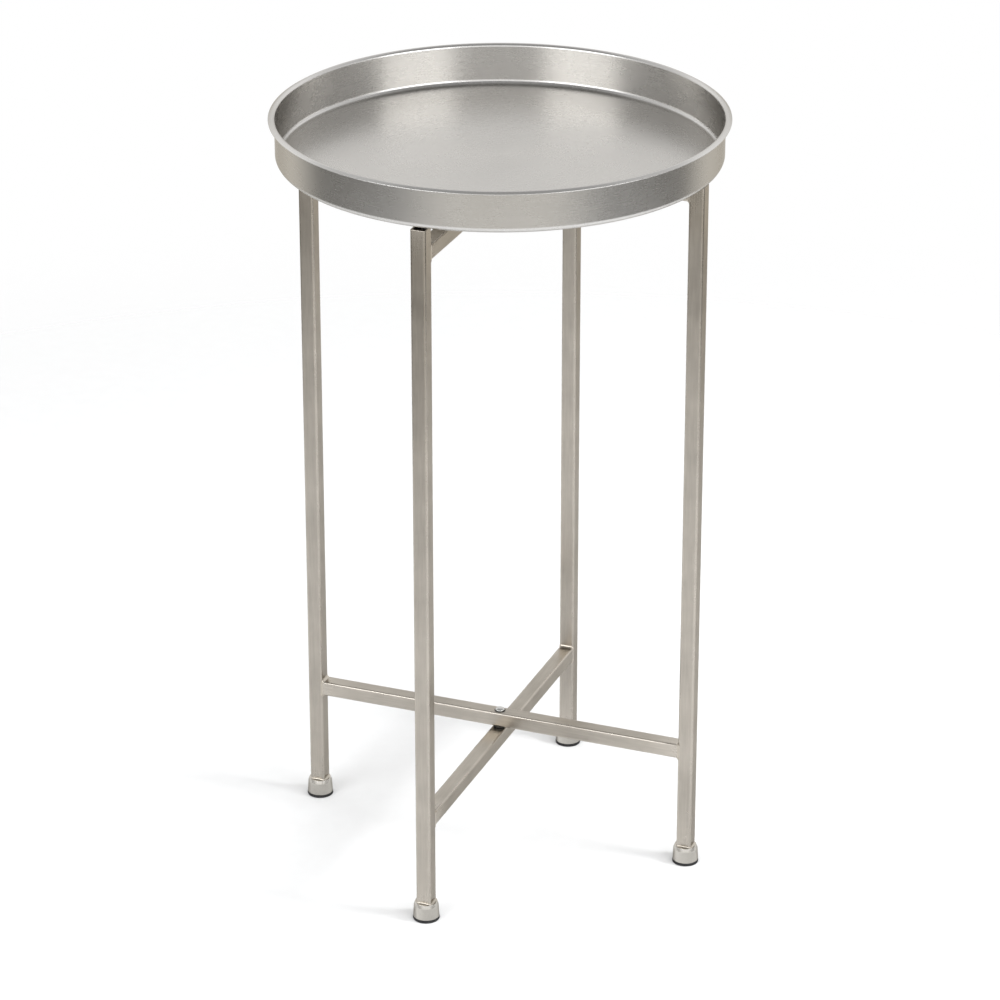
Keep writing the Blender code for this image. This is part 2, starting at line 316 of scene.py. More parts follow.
BOX_SPREAD = math.radians(46)  # from the camera round to each front softbox
KEY_SPREAD = math.radians(72)
for side, place in (("left", -1), ("right", 1)):
    softbox(
        f"front_{side}", VIEW_AZIMUTH + place * BOX_SPREAD, math.radians(22),
        distance=2.2, width=1.5, height=0.9, watts=14,
    )
softbox(
    "key", VIEW_AZIMUTH + KEY_SPREAD, math.radians(30),
    distance=2.0, width=0.5, height=0.5, watts=22, mirrored=False,
)
softbox(
    "overhead", VIEW_AZIMUTH, math.radians(88),
    distance=2.2, width=3.0, height=3.0, watts=26, mirrored=False,
)
print("softboxes:", len(bpy.data.lights))

# %% [markdown]
# The floor is a wide round sheet of matt paper. It fades out at its rim, so that no edge line
# shows where it meets the backdrop. The fade is in the paper's material, by the distance from
# the table, because a mesh alone can only stop.

# %% The floor's mesh
PAPER_REACH = 2.2
PAPER_RINGS = 11
PAPER_AROUND = 96

paper_bm = bmesh.new()
paper_rings = []
for step in range(1, PAPER_RINGS + 1):
    radius = PAPER_REACH * step / PAPER_RINGS
    turns = [math.tau * i / PAPER_AROUND for i in range(PAPER_AROUND)]
    points = [(radius * math.cos(a), radius * math.sin(a), 0) for a in turns]
    paper_rings.append([paper_bm.verts.new(point) for point in points])
paper_bm.faces.new(paper_rings[0])
for near, far in zip(paper_rings, paper_rings[1:]):
    for i in range(PAPER_AROUND):
        paper_bm.faces.new((near[i - 1], far[i - 1], far[i], near[i]))
paper_mesh = bpy.data.meshes.new("studio_floor")
paper_bm.to_mesh(paper_mesh)
paper_bm.free()
floor = bpy.data.objects.new("studio_floor", paper_mesh)
bpy.context.scene.collection.objects.link(floor)
print("floor faces:", len(paper_mesh.polygons))

# %% The floor's paper
PAPER_FADE = (0.8, 1.5)  # where the paper starts to fade out, and where it is gone

paper = bpy.data.materials.new("studio_paper")
paper.use_nodes = True
sheet = paper.node_tree
sheet.nodes.clear()
spot = node(sheet, "ShaderNodeTexCoord").outputs["Object"]
fibres = node(sheet, "ShaderNodeTexNoise", {"Vector": spot, "Scale": 60.0, "Detail": 3.0}).outputs[0]
paper_tone = tones(sheet, fibres, [(0.3, grey(0.79)[:3]), (0.7, grey(0.805)[:3])])
matt = node(sheet, "ShaderNodeBsdfDiffuse", {"Color": paper_tone, "Roughness": 0.6})
clear = node(sheet, "ShaderNodeBsdfTransparent")
reach = vectors(sheet, "LENGTH", spot, result="Value")
gone = spread(sheet, reach, *PAPER_FADE, 0.0, 1.0, smooth=True)
faded = node(sheet, "ShaderNodeMixShader", {0: gone, 1: matt.outputs[0], 2: clear.outputs[0]})
node(sheet, "ShaderNodeOutputMaterial", {"Surface": faded.outputs[0]})
paper_mesh.materials.append(paper)
print("floor reaches", PAPER_REACH, "m and fades from", PAPER_FADE[0], "m")

# %% [markdown]
# ## Satin metal
#
# Satin nickel is brushed steel with a thin warm plating. Four things make it read as metal:
#
# * Hairlines all run one way, so a highlight smears across them. That is anisotropy, and it
#   needs a direction on the surface: round the axis for spun parts, along the length for tube.
# * The plating isn't even. Its tone drifts by a few per cent, and handling leaves smoother and
#   duller patches.
# * Edges are rubbed bright, partly as real wear and partly as a painted highlight. Each mesh stores
#   how tightly it bends at each point, and the finish reads that as wear and painted highlight. It
#   reads a second store as painted shade: a near-black ring in the crevice round a rivet's head.
# * Plating keeps only part of the light that grazes it, which the specular tint says. Without it
#   every bend would end in a white line.
#
# The hairlines are noise stretched hard along the brushing. On spun parts the noise reads the
# direction round the axis as a sine and a cosine instead of an angle, so there is no seam.

# %% Coordinates that follow the brushing
def own_place(tree):
    """The point on the part, moved by an amount that differs from part to part."""
    point = node(tree, "ShaderNodeTexCoord").outputs["Object"]
    chance = node(tree, "ShaderNodeObjectInfo").outputs["Random"]
    away = vectors(tree, "SCALE", (1.0, 0.7, 0.4))
    join(tree, maths(tree, "MULTIPLY", chance, 3.0), away.node.inputs["Scale"])
    return point, vectors(tree, "ADD", point, away)


def grain_along(tree, line_width, line_length):
    """Brushing along Z: noise coordinates for lines this wide and this long."""
    placed = own_place(tree)[1]
    across = 1.0 / line_width
    return vectors(tree, "MULTIPLY", placed, (across, across, 1.0 / line_length))


def grain_around(tree, line_width, turns_seen):
    """Brushing round Z: the profile is read across the lines, the direction along them."""
    point, placed = own_place(tree)
    off_axis = vectors(tree, "MULTIPLY", point, (1.0, 1.0, 0.0))
    radius = vectors(tree, "LENGTH", off_axis, result="Value")
    rise = node(tree, "ShaderNodeSeparateXYZ", {0: placed}).outputs["Z"]
    profile = maths(tree, "MULTIPLY", maths(tree, "ADD", radius, rise), 1.0 / line_width)
    turned = vectors(tree, "SCALE", vectors(tree, "NORMALIZE", off_axis))
    turned.node.inputs["Scale"].default_value = turns_seen
    apart = node(tree, "ShaderNodeCombineXYZ", {"Z": profile}).outputs[0]
    return vectors(tree, "ADD", turned, apart)


def along(tree, width, length):
    """Tube brushing: hairlines about forty millimetres long."""
    return grain_along(tree, width, length * 40 * MM)


def around(tree, width, length):
    """Spun brushing: hairlines about a tenth of a turn long."""
    return grain_around(tree, width, 5.0 / length)


print("grain helpers ready")


# %% Layers that every finish reads
def noise(tree, place, scale, detail=2.0, rough=0.5):
    """Soft noise from 0 to 1."""
    inputs = {"Vector": place, "Scale": scale, "Detail": detail, "Roughness": rough}
    return node(tree, "ShaderNodeTexNoise", inputs).outputs[0]


def stored(tree, name):
    """What a mesh stores at each point under this name, or 0 where it stores nothing."""
    return node(tree, "ShaderNodeAttribute", attribute_name=name).outputs["Fac"]


def layered(tree, base, layers):
    """The base plus each layer times its share."""
    total = base
    for layer, share in layers:
        total = maths(tree, "ADD", total, maths(tree, "MULTIPLY", layer, share))
    return total


print("layer helpers ready")

# %% One satin finish
EDGE_TINT = (0.52, 0.505, 0.48, 1.0)  # how much of the light at a glancing angle is kept
# Painted shade: the near-black tone of the crevice ring round a rivet's head, and how fully it covers.
CREVICE_SHADE_TONE = (0.012, 0.011, 0.01, 1.0)
CREVICE_SHADE_COVER = 0.92
HAIR_WIDTH = 0.22 * MM
STREAK_WIDTH = 1.6 * MM
PITS_PER_METRE = 420.0
PIT_EDGE = (0.05, 0.11)  # where a pit's wall starts and ends, as a share of the way to the next


def satin(name, grain, dark, light, polish, anisotropy, turn, cloud_size, groove):
    """A brushed metal. grain makes its coordinates, polish is its (smoothest, roughest) value."""
    material = bpy.data.materials.new(name)
    material.use_nodes = True
    tree = material.node_tree
    shader = tree.nodes["Principled BSDF"]
    shader.inputs["Metallic"].default_value = 1.0
    shader.inputs["Anisotropic"].default_value = anisotropy
    shader.inputs["Anisotropic Rotation"].default_value = turn
    shader.inputs["Specular Tint"].default_value = EDGE_TINT
    way = node(tree, "ShaderNodeTangent", direction_type="RADIAL", axis="Z")
    join(tree, way.outputs[0], shader.inputs["Tangent"])

    hairs = noise(tree, grain(tree, HAIR_WIDTH, 1.0), 1.0, 3.0, 0.6)
    streaks = noise(tree, grain(tree, STREAK_WIDTH, 0.6), 1.0, 2.0)
    placed = own_place(tree)[1]
    clouds = noise(tree, placed, 1.0 / cloud_size, 3.0, 0.55)
    handling = noise(tree, placed, 2.6 / cloud_size, 4.0, 0.62)
    spacing = {"Vector": placed, "Scale": PITS_PER_METRE}
    pits = node(tree, "ShaderNodeTexVoronoi", spacing).outputs["Distance"]
    pitted = spread(tree, pits, *PIT_EDGE, 1.0, 0.0, smooth=True)
    # Tight edges are lightened, as wear and as a painted highlight.
    worn_and_highlit = stored(tree, "wear_and_highlight")

    uneven = maths(tree, "MULTIPLY", clouds, 0.5)
    tone = layered(tree, uneven, ((streaks, 0.3), (hairs, 0.2), (worn_and_highlit, 0.22), (pitted, -0.12)))
    unshaded_tone = tones(tree, tone, [(0.3, dark), (0.75, light)])
    # Painted shade: the ring round a rivet's head is mixed almost to black.
    crevice_shaded = maths(tree, "MULTIPLY", stored(tree, "crevice_shade"), CREVICE_SHADE_COVER)
    colours = {"Factor": crevice_shaded, 6: unshaded_tone, 7: CREVICE_SHADE_TONE}
    coloured = node(tree, "ShaderNodeMix", colours, data_type="RGBA").outputs[2]
    join(tree, coloured, shader.inputs["Base Color"])

    handled = maths(tree, "MULTIPLY", handling, 0.6)
    dull = layered(tree, handled, ((hairs, 0.2), (streaks, 0.2), (worn_and_highlit, -0.25), (pitted, 0.2)))
    join(tree, spread(tree, dull, 0.25, 0.75, *polish), shader.inputs["Roughness"])

    depth = maths(tree, "SUBTRACT", maths(tree, "ADD", hairs, streaks), pitted)
    raised = {"Strength": 0.5, "Distance": groove, "Height": depth}
    bumped = node(tree, "ShaderNodeBump", raised).outputs[0]
    join(tree, bumped, shader.inputs["Normal"])
    return material


print("satin finish ready")

# %% [markdown]
# Anisotropy has a direction too. A turn of a quarter lays the smear across lines that run round
# a spun part, and no turn suits a tube, whose lines run along it. The tray is the palest and the
# most even. The feet are polished a little more than the tubes, and the washers are steel, coloured
# nearly black.

# %% Six satin finishes
SPUN = 0.25
DRAWN = 0.0

tray_nickel = satin(
    "tray_nickel", around, dark=(0.61, 0.599, 0.582), light=(0.67, 0.659, 0.643),
    polish=(0.25, 0.3), anisotropy=0.3, turn=SPUN, cloud_size=90 * MM, groove=0.0012 * MM,
)
tube_nickel = satin(
    "tube_nickel", along, dark=(0.345, 0.318, 0.282), light=(0.535, 0.495, 0.44),
    polish=(0.26, 0.4), anisotropy=0.4, turn=DRAWN, cloud_size=45 * MM, groove=0.006 * MM,
)
foot_nickel = satin(
    "foot_nickel", around, dark=(0.44, 0.42, 0.385), light=(0.58, 0.557, 0.515),
    polish=(0.12, 0.24), anisotropy=0.3, turn=SPUN, cloud_size=14 * MM, groove=0.005 * MM,
)
saddle_nickel = satin(
    "saddle_nickel", along, dark=(0.45, 0.42, 0.37), light=(0.54, 0.5, 0.45),
    polish=(0.3, 0.44), anisotropy=0.35, turn=DRAWN, cloud_size=12 * MM, groove=0.008 * MM,
)
rivet_steel = satin(
    "rivet_steel", around, dark=(0.5, 0.5, 0.49), light=(0.68, 0.68, 0.66),
    polish=(0.08, 0.18), anisotropy=0.3, turn=SPUN, cloud_size=5 * MM, groove=0.004 * MM,
)
washer_steel = satin(
    "washer_steel", around, dark=(0.03, 0.029, 0.028), light=(0.075, 0.073, 0.07),
    polish=(0.35, 0.5), anisotropy=0.3, turn=SPUN, cloud_size=5 * MM, groove=0.006 * MM,
)
print("satin finishes:", [m.name for m in bpy.data.materials if m.name.endswith(("nickel", "steel"))])

# %% [markdown]
# ## Weld metal and rubber
#
# A weld is plated with the frame, so it has the frame's tone, but it was never brushed: it is
# smoother in the small and lumpy in the large, with ripples where the puddle froze. Rubber is
# almost black, takes light only softly, and is dusted with a fine grain from its mould.

# %% Weld metal and rubber
def cast_finish(name, dark, light, polish, lump, lift, metallic):
    """A finish with no brushing: lumps of this size that rise by lift, with a finer grain."""
    material = bpy.data.materials.new(name)
    material.use_nodes = True
    tree = material.node_tree
    shader = tree.nodes["Principled BSDF"]
    shader.inputs["Metallic"].default_value = metallic
    placed = own_place(tree)[1]
    lumps = noise(tree, placed, 1.0 / lump, 2.0)
    specks = noise(tree, placed, 9.0 / lump, 3.0, 0.65)
    mixed = layered(tree, maths(tree, "MULTIPLY", lumps, 0.6), ((specks, 0.3),))
    # Tight edges of a weld are lightened too, as wear and as a painted highlight.
    tone = layered(tree, mixed, ((stored(tree, "wear_and_highlight"), 0.1),))
    join(tree, tones(tree, tone, [(0.3, dark), (0.7, light)]), shader.inputs["Base Color"])
    join(tree, spread(tree, mixed, 0.25, 0.7, *polish), shader.inputs["Roughness"])
    raised = {"Strength": 0.6, "Distance": lift, "Height": mixed}
    join(tree, node(tree, "ShaderNodeBump", raised).outputs[0], shader.inputs["Normal"])
    return material


weld_nickel = cast_finish(
    "weld_nickel", dark=(0.46, 0.42, 0.36), light=(0.6, 0.55, 0.48),
    polish=(0.24, 0.4), lump=1.6 * MM, lift=0.08 * MM, metallic=1.0,
)
foot_rubber = cast_finish(
    "foot_rubber", dark=(0.006, 0.006, 0.007), light=(0.03, 0.03, 0.031),
    polish=(0.5, 0.75), lump=2.5 * MM, lift=0.03 * MM, metallic=0.0,
)
foot_rubber.node_tree.nodes["Principled BSDF"].inputs["Specular IOR Level"].default_value = 0.4
print("cast finishes:", weld_nickel.name, foot_rubber.name)

# %% [markdown]
# ## Outlines and solids
#
# Nearly every part is one of three kinds: turned on a lathe, drawn as tube, or bent from sheet.
# All three start from a flat outline. A CAD program rounds an outline's corners with fillets,
# and the first helper does the same in steps small enough to look smooth up close.
#
# A solid is then a stack of rings, one ring of points for each point of the outline. That keeps
# every mesh closed and its faces in tidy rows, which a Boolean or a bevel modifier wouldn't.

# %% Rounding an outline's corners
FILLET_STEP = math.radians(7)


def filleted(corners, closed=True, step=FILLET_STEP):
    """The outline through (x, y, radius) corners, with an arc at each rounded one."""
    spots = [Vector(corner[:2]) for corner in corners]
    outline = []
    for i, (spot, (_, _, radius)) in enumerate(zip(spots, corners)):
        if radius == 0 or (not closed and i in (0, len(spots) - 1)):
            outline.append(spot)
            continue
        back = (spots[i - 1] - spot).normalized()
        ahead = (spots[(i + 1) % len(spots)] - spot).normalized()
        half = back.angle(ahead) / 2
        centre = spot + (back + ahead).normalized() * radius / math.sin(half)
        first = spot + back * radius / math.tan(half) - centre
        last = spot + ahead * radius / math.tan(half) - centre
        turn = -first.angle_signed(last)
        count = max(2, math.ceil(abs(turn) / step))
        for k in range(count + 1):
            cos, sin = math.cos(turn * k / count), math.sin(turn * k / count)
            turned = Vector((first.x * cos - first.y * sin, first.x * sin + first.y * cos))
            outline.append(centre + turned)
    return outline


one_corner = filleted([(0, 1, 0), (0, 0, 0.2), (1, 0, 0)], closed=False)
print("a rounded corner of 90 degrees has", len(one_corner) - 2, "points")

# %% [markdown]
# A mesh gets its shading and its wear in one place. Wear is worked out from the shape: where the
# surface bends outward tightly, hands and cloths rub the most, and the finish reads that later.
# The finish also lightens those bends as a painted highlight, a bright line along each edge.

# %% Wear and shading
SHARP = math.radians(40)
TIGHT_BEND = 900.0  # a bend of about a millimetre's radius counts as fully worn and highlit, per metre
LEAST_EDGE = 1e-6  # these two keep a division from failing where a face has no width
LEAST_WIDTH = 1e-5


def mark_wear_and_highlight(bm):
    """Stores at each point how tightly the surface bends outward there, from 0 to 1."""
    # The finish reads this as wear and as a painted highlight.
    wear_and_highlight = bm.verts.layers.float.new("wear_and_highlight")
    for vert in bm.verts:
        bend = 0.0
        for edge in vert.link_edges:
            if len(edge.link_faces) == 2 and edge.is_convex:
                one, two = edge.link_faces
                apart = (one.calc_center_median() - two.calc_center_median()).length
                narrow = min(one.calc_area(), two.calc_area()) / max(edge.calc_length(), LEAST_EDGE)
                width = max(min(apart, narrow * 2), LEAST_WIDTH)
                bend = max(bend, edge.calc_face_angle() / width)
        vert[wear_and_highlight] = min(1.0, bend / TIGHT_BEND)


def finished(name, bm):
    """A mesh from bm, its faces pointing outward, smooth between its sharp edges."""
    bmesh.ops.recalc_face_normals(bm, faces=bm.faces)
    mark_wear_and_highlight(bm)
    mesh = bpy.data.meshes.new(name)
    bm.to_mesh(mesh)
    bm.free()
    mesh.shade_smooth()
    mesh.set_sharp_from_angle(angle=SHARP)
    return mesh


print("bend radius that counts as fully worn, mm:", round(1 / TIGHT_BEND / MM, 2))

# %% [markdown]
# Most parts here are a row of rings joined by a skin: the sections along a weld, the ends of a
# tube, or the circles of a turned part. A ring whose points all meet becomes one point, as at the
# middle of a dome.

# %% Meshes from rings
SAME_POINT = 1e-9


def ringed(name, rings, loop=True):
    """The skin through rings of points. With loop it goes back to the first, else it is capped."""
    bm = bmesh.new()
    loops = []
    for ring in rings:
        at_one_point = all((Vector(point) - Vector(ring[0])).length < SAME_POINT for point in ring)
        if at_one_point:
            loops.append([bm.verts.new(ring[0])] * len(ring))
        else:
            loops.append([bm.verts.new(point) for point in ring])
    pairs = list(zip(loops, loops[1:]))
    if loop:
        pairs.append((loops[-1], loops[0]))
    for near, far in pairs:
        for i in range(len(near)):
            corners = list(dict.fromkeys((near[i - 1], near[i], far[i], far[i - 1])))
            if len(corners) > 2:
                bm.faces.new(corners)
    if not loop:
        bm.faces.new(loops[0])
        bm.faces.new(loops[-1])
    return finished(name, bm)


def turned_rings(outline, turns):
    """A ring of points round Z for each (radius, height) point of an outline."""
    return [[(p.x * math.cos(a), p.x * math.sin(a), p.y) for a in turns] for p in outline]


def even_turns(count):
    """The angles of this many points round Z, none of them on an axis."""
    return [math.tau * (i + 0.5) / count for i in range(count)]


def spun(name, outline, count):
    """A solid turned about Z from a closed outline, with this many points round it."""
    return ringed(name, turned_rings(outline, even_turns(count)))


print("turns of a ring of four points:", [round(math.degrees(turn)) for turn in even_turns(4)])

# %% [markdown]
# A piece is put in the scene by one helper, so that none misses its finish, the body it rides on
# or the measured part that it stands for.

# %% Showing a piece
def show(name, mesh, finish, body, replaced=(), location=(0, 0, 0), turn=(0, 0, 0)):
    """A visible piece: its mesh and finish, the body it rides on, and the parts it stands for."""
    piece = bpy.data.objects.new(name, mesh)
    bpy.context.scene.collection.objects.link(piece)
    if not mesh.materials:
        mesh.materials.append(finish)
    piece.location = location
    piece.rotation_euler = turn
    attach(piece, body)
    if replaced:
        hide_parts(*replaced)


# %% [markdown]
# ## The tray
#
# The tray is spun: a flat disc is pressed over a turning former until it has a wall, then a
# roller folds the top edge outward into a lip. That leaves one sheet of even thickness with a
# tight bend at the floor, a rolled crest, and fine lines that run round it everywhere.
#
# A cylinder with its top face pushed in would lose the sheet's thickness and both bends. Here
# the middle line of the sheet is drawn once and thickened to both sides, as the real sheet is,
# and its raw edge is dressed round. The floor is drawn as several rings, so that no face of it
# is a long sliver.

# %% The tray's outline
SHEET = 0.9 * MM
FLOOR_BEND = 4.5 * MM
LIP_WIDTH = 5.0 * MM
LIP_ROLL = 2.2 * MM
LIP_DROOP = math.radians(30)
FLOOR_RINGS = 14
EDGE_STEPS = 8
ON_AXIS = 1e-7  # a radius under this is rounding, and counts as none


def sheet_outline(path, thickness):
    """The closed outline of a sheet whose middle follows path and whose last edge is rounded."""
    left, right = [], []
    for i, point in enumerate(path):
        before = (point - path[i - 1]).normalized() if i else None
        after = (path[i + 1] - point).normalized() if i + 1 < len(path) else None
        way = ((before or after) + (after or before)).normalized()
        aside = Vector((-way.y, way.x)) * thickness / 2 / way.dot(after or before)
        left.append(point + aside)
        right.append(point - aside)
    end = path[-1]
    way = (end - path[-2]).normalized()
    aside = Vector((-way.y, way.x))
    cap = []
    for k in range(1, EDGE_STEPS):
        swing = math.pi * k / EDGE_STEPS
        cap.append(end + (aside * -math.cos(swing) + way * math.sin(swing)) * thickness / 2)
    return right + cap + left[::-1]


tray_low, tray_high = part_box("tray_pan")
tray_radius = (tray_high.x - tray_low.x) / 2
wall = tray_radius - LIP_WIDTH - SHEET / 2
crest = tray_high.z - tray_low.z - SHEET / 2
half_turn = (math.pi / 2 - LIP_DROOP) / 2
lip_corner = crest + LIP_ROLL / math.tan(half_turn) - LIP_ROLL
lip_edge = tray_radius - SHEET / 2
lip_edge_height = lip_corner - (lip_edge - wall) * math.tan(LIP_DROOP)
floor_line = [(wall * i / FLOOR_RINGS, SHEET / 2, 0) for i in range(FLOOR_RINGS)]
bends = [(wall, SHEET / 2, FLOOR_BEND), (wall, lip_corner, LIP_ROLL), (lip_edge, lip_edge_height, 0)]
tray_path = filleted(floor_line + bends, closed=False)
tray_outline = sheet_outline(tray_path, SHEET)
for point in tray_outline:
    point.x = 0.0 if abs(point.x) < ON_AXIS else point.x
print("tray outline points:", len(tray_outline))

# %% Spin the tray
TRAY_AROUND = 288

tray_mesh = spun("spun_tray", tray_outline, TRAY_AROUND)
show(
    "spun_tray", tray_mesh, tray_nickel, "tray",
    ["tray_pan"], location=(0, 0, tray_low.z),
)
print("tray mm across:", round(tray_radius * 2 / MM, 1), "faces:", len(tray_mesh.polygons))

# %% [markdown]
# ## Square tube
#
# Legs and bars are one kind of tube, rolled from strip and welded along one side. Its outside
# corners are soft and its cut ends are deburred. Inside, the seam leaves a low bead that shows
# at the open top of each leg.
#
# The section is a rounded square with a few extra points beside each corner. They hold the flats
# flat, so that only the corner bends the light. A ring of such points at each height makes the
# outside, the rounded ends and the bore in one closed skin.

# %% A tube's section
TUBE_WALL = 1.2 * MM
TUBE_CORNER = 1.6 * MM
SEAM_WIDTH = 1.8 * MM
BEAD_STEPS = 6  # faces across the seam's bead
CORNER_STEPS = 8
FLAT_HOLD = 0.5 * MM  # how far from a corner the extra point on each flat is


def section(side, corner, height, seam=0.0):
    """A ring round a square tube at this height. seam raises a bead on the side toward +X."""
    flat = side / 2 - corner
    ring = []
    for quarter in range(4):
        turn = quarter * math.pi / 2
        along_side = [-flat + FLAT_HOLD, flat - FLAT_HOLD]
        if quarter == 0:
            bead = [SEAM_WIDTH * (k / BEAD_STEPS - 0.5) for k in range(BEAD_STEPS + 1)]
            along_side = along_side[:1] + bead + along_side[1:]
        points = []
        for place in along_side:
            share = max(0.0, 1 - (2 * place / SEAM_WIDTH) ** 2) if quarter == 0 else 0.0
            points.append((side / 2 - seam * share, place))
        for k in range(CORNER_STEPS + 1):
            angle = math.pi / 2 * k / CORNER_STEPS
            points.append((flat + corner * math.cos(angle), flat + corner * math.sin(angle)))
        cos, sin = math.cos(turn), math.sin(turn)
        ring += [(x * cos - y * sin, x * sin + y * cos, height) for x, y in points]
    return ring


print("points in a tube's section:", len(section(leg_size.x, TUBE_CORNER, 0)))


# %% A tube
DEBURR = 0.3 * MM  # the rounding of a cut end's outer edge
DEBURR_STEPS = 3
BORE_LEAD = 0.15 * MM  # the bevel of its inner edge
SEAM_HEIGHT = 0.35 * MM
LENGTH_STEPS = 12


def rounded_edge(radius, steps):
    """Pairs of how far the skin is drawn in and how far it has risen, over a rounded edge."""
    swings = [math.pi / 2 * k / steps for k in range(steps + 1)]
    return [(radius * (1 - math.sin(s)), radius * (1 - math.cos(s))) for s in swings]


def tube(name, side, length):
    """Square tube that stands on the origin, open at both ends."""
    edge = rounded_edge(DEBURR, DEBURR_STEPS)
    outside = [section(side - 2 * inset, TUBE_CORNER - inset, rise) for inset, rise in edge]
    for k in range(1, LENGTH_STEPS):
        outside.append(section(side, TUBE_CORNER, length * k / LENGTH_STEPS))
    for inset, rise in reversed(edge):
        outside.append(section(side - 2 * inset, TUBE_CORNER - inset, length - rise))
    bore = side - 2 * TUBE_WALL
    corner = TUBE_CORNER - TUBE_WALL
    inside = [
        section(bore + 2 * BORE_LEAD, corner + BORE_LEAD, length),
        section(bore, corner, length - BORE_LEAD, SEAM_HEIGHT),
        section(bore, corner, BORE_LEAD, SEAM_HEIGHT),
        section(bore + 2 * BORE_LEAD, corner + BORE_LEAD, 0),
    ]
    return ringed(name, outside + inside)


leg_mesh = tube("leg_tube", leg_size.x, leg_size.z)
print("leg tube mm long:", round(leg_size.z / MM, 1), "faces:", len(leg_mesh.polygons))

# %% Four legs
LEGS = {
    "main_left": "main_frame",
    "main_right": "main_frame",
    "cross_front": "cross_frame",
    "cross_back": "cross_frame",
}


def leg_part(kind, leg):
    """The measured part of this kind at this leg, such as main_glide_left."""
    frame_name, end = leg.split("_")
    return f"{frame_name}_{kind}_{end}"


for quarter, (leg, body) in enumerate(LEGS.items()):
    part = leg_part("leg", leg)
    seam_turn = (0, 0, quarter * math.pi / 2)
    show(f"leg_{leg}", leg_mesh, tube_nickel, body, [part], underside(part), seam_turn)
    print("leg", leg, "stands at", [round(value / MM, 1) for value in underside(part)])

# %% [markdown]
# The bars are the same tube, cut shorter and drilled once at the middle, top and bottom, for a
# rivet. The hole is the one place where a Boolean is the plain way: a cutter goes through, its
# result is kept as the mesh, and the cutter is removed.

# %% A drilled bar
HOLE_RADIUS = 2.59 * MM
HOLE_AROUND = 48
DRILL_LENGTH = bar_size.z * 1.4  # longer than the bar is thick


def drill_mesh(name):
    """A round cutter along X."""
    turns = [math.tau * i / HOLE_AROUND for i in range(HOLE_AROUND)]
    ends = []
    for x in (-DRILL_LENGTH / 2, DRILL_LENGTH / 2):
        ends.append([(x, HOLE_RADIUS * math.cos(a), HOLE_RADIUS * math.sin(a)) for a in turns])
    return ringed(name, ends, loop=False)


def drilled(mesh, height):
    """The tube with a hole through it along X at this height."""
    bar = bpy.data.objects.new("bar_blank", mesh)
    drill = bpy.data.objects.new("bar_drill", drill_mesh("bar_drill"))
    drill.location.z = height
    for helper in (bar, drill):
        bpy.context.scene.collection.objects.link(helper)
    cut = bar.modifiers.new("hole", "BOOLEAN")
    cut.operation = "DIFFERENCE"
    cut.solver = "EXACT"
    cut.object = drill
    bpy.context.view_layer.update()
    evaluated = bar.evaluated_get(bpy.context.evaluated_depsgraph_get())
    result = bpy.data.meshes.new_from_object(evaluated)
    for helper in (bar, drill):
        bpy.data.objects.remove(helper)
    result.set_sharp_from_angle(angle=SHARP)
    return result


bar_mesh = drilled(tube("bar_tube", bar_size.z, bar_size.x), bar_size.x / 2)
bar_mesh.name = "bar"
print("bar mm long:", round(bar_size.x / MM, 1), "faces:", len(bar_mesh.polygons))

# %% Four bars
FRAMES = {"main": 0.0, "cross": math.pi / 2}  # how far each frame is turned from X

for frame_name, turn in FRAMES.items():
    for tier in ("top", "low"):
        part = f"{frame_name}_{tier}_bar"
        start = middle(part) - Vector((math.cos(turn), math.sin(turn), 0)) * bar_size.x / 2
        lay_down = (0, math.pi / 2, turn)
        show(
            f"bar_{frame_name}_{tier}", bar_mesh, tube_nickel, f"{frame_name}_frame",
            [part], start, lay_down,
        )
        print("bar", frame_name, tier, "at height", round(middle(part).z / MM, 1))

# %% [markdown]
# ## Welds between bars and legs
#
# A bar is cut square and welded to the face of a leg. Above and below, the weld is a small
# concave fillet. At the sides both tubes are the same width, so the weld fills the groove along
# the leg's rounded corner and is ground flush. The main top bar is level with the leg's open
# top, so its upper side is ground flush too.
#
# The bead is a ring round the bar. At each point of the ring its section runs from the leg,
# through a hollow curve, to the bar, and closes inside the metal where it can't be seen. What
# changes round the ring is how far it reaches, and whether it is hollow or flush.

# %% The path round a square tube
def turned_quarters(spot, quarter):
    """A flat vector turned by this many right angles."""
    cos = math.cos(quarter * math.pi / 2)
    sin = math.sin(quarter * math.pi / 2)
    return Vector((spot.x * cos - spot.y * sin, spot.x * sin + spot.y * cos))


def path_round(side, corner, flat_steps=6, corner_steps=7):
    """Points round a rounded square, each with its outward direction."""
    flat = side / 2 - corner
    one_side = []
    for k in range(flat_steps):
        spot = Vector((side / 2, -flat + 2 * flat * k / flat_steps))
        one_side.append((spot, Vector((1.0, 0.0))))
    for k in range(corner_steps):
        angle = math.pi / 2 * k / corner_steps
        out = Vector((math.cos(angle), math.sin(angle)))
        one_side.append((Vector((flat, flat)) + out * corner, out))
    path = []
    for quarter in range(4):
        for spot, out in one_side:
            path.append((turned_quarters(spot, quarter), turned_quarters(out, quarter)))
    return path


def hollow(start, control, end, steps):
    """A curve from start to end, pulled toward control."""
    return [
        start * (1 - t) ** 2 + control * (2 * t * (1 - t)) + end * t**2
        for t in (k / steps for k in range(steps + 1))
    ]


print("points round a tube:", len(path_round(leg_size.x, TUBE_CORNER)))

# %% The bead at a bar's end
BEAD_REACH = 2.1 * MM  # how far a hollow bead runs out on each tube
BEAD_HOLLOW = 0.35 * MM  # how near to the corner its curve is pulled
BEAD_SINK = 0.04 * MM  # how far its edges lie under the surface
BEAD_ROOT = 0.7 * MM  # how deep in the metal it closes
FLUSH_REACH = 1.0 * MM  # how far a flush bead runs out on the bar
FLUSH_CROWN = 0.06 * MM  # how far it stands proud
SIDE_DEPTH = 0.6 * MM  # how much deeper it starts in the groove at a side
TOP_DEPTH = 0.75 * MM  # and on a flush top
RIPPLE = 0.07 * MM
RIPPLE_TURN = 2.4  # radians from point to point, so that no two ripples are alike
CURVE_STEPS = 7


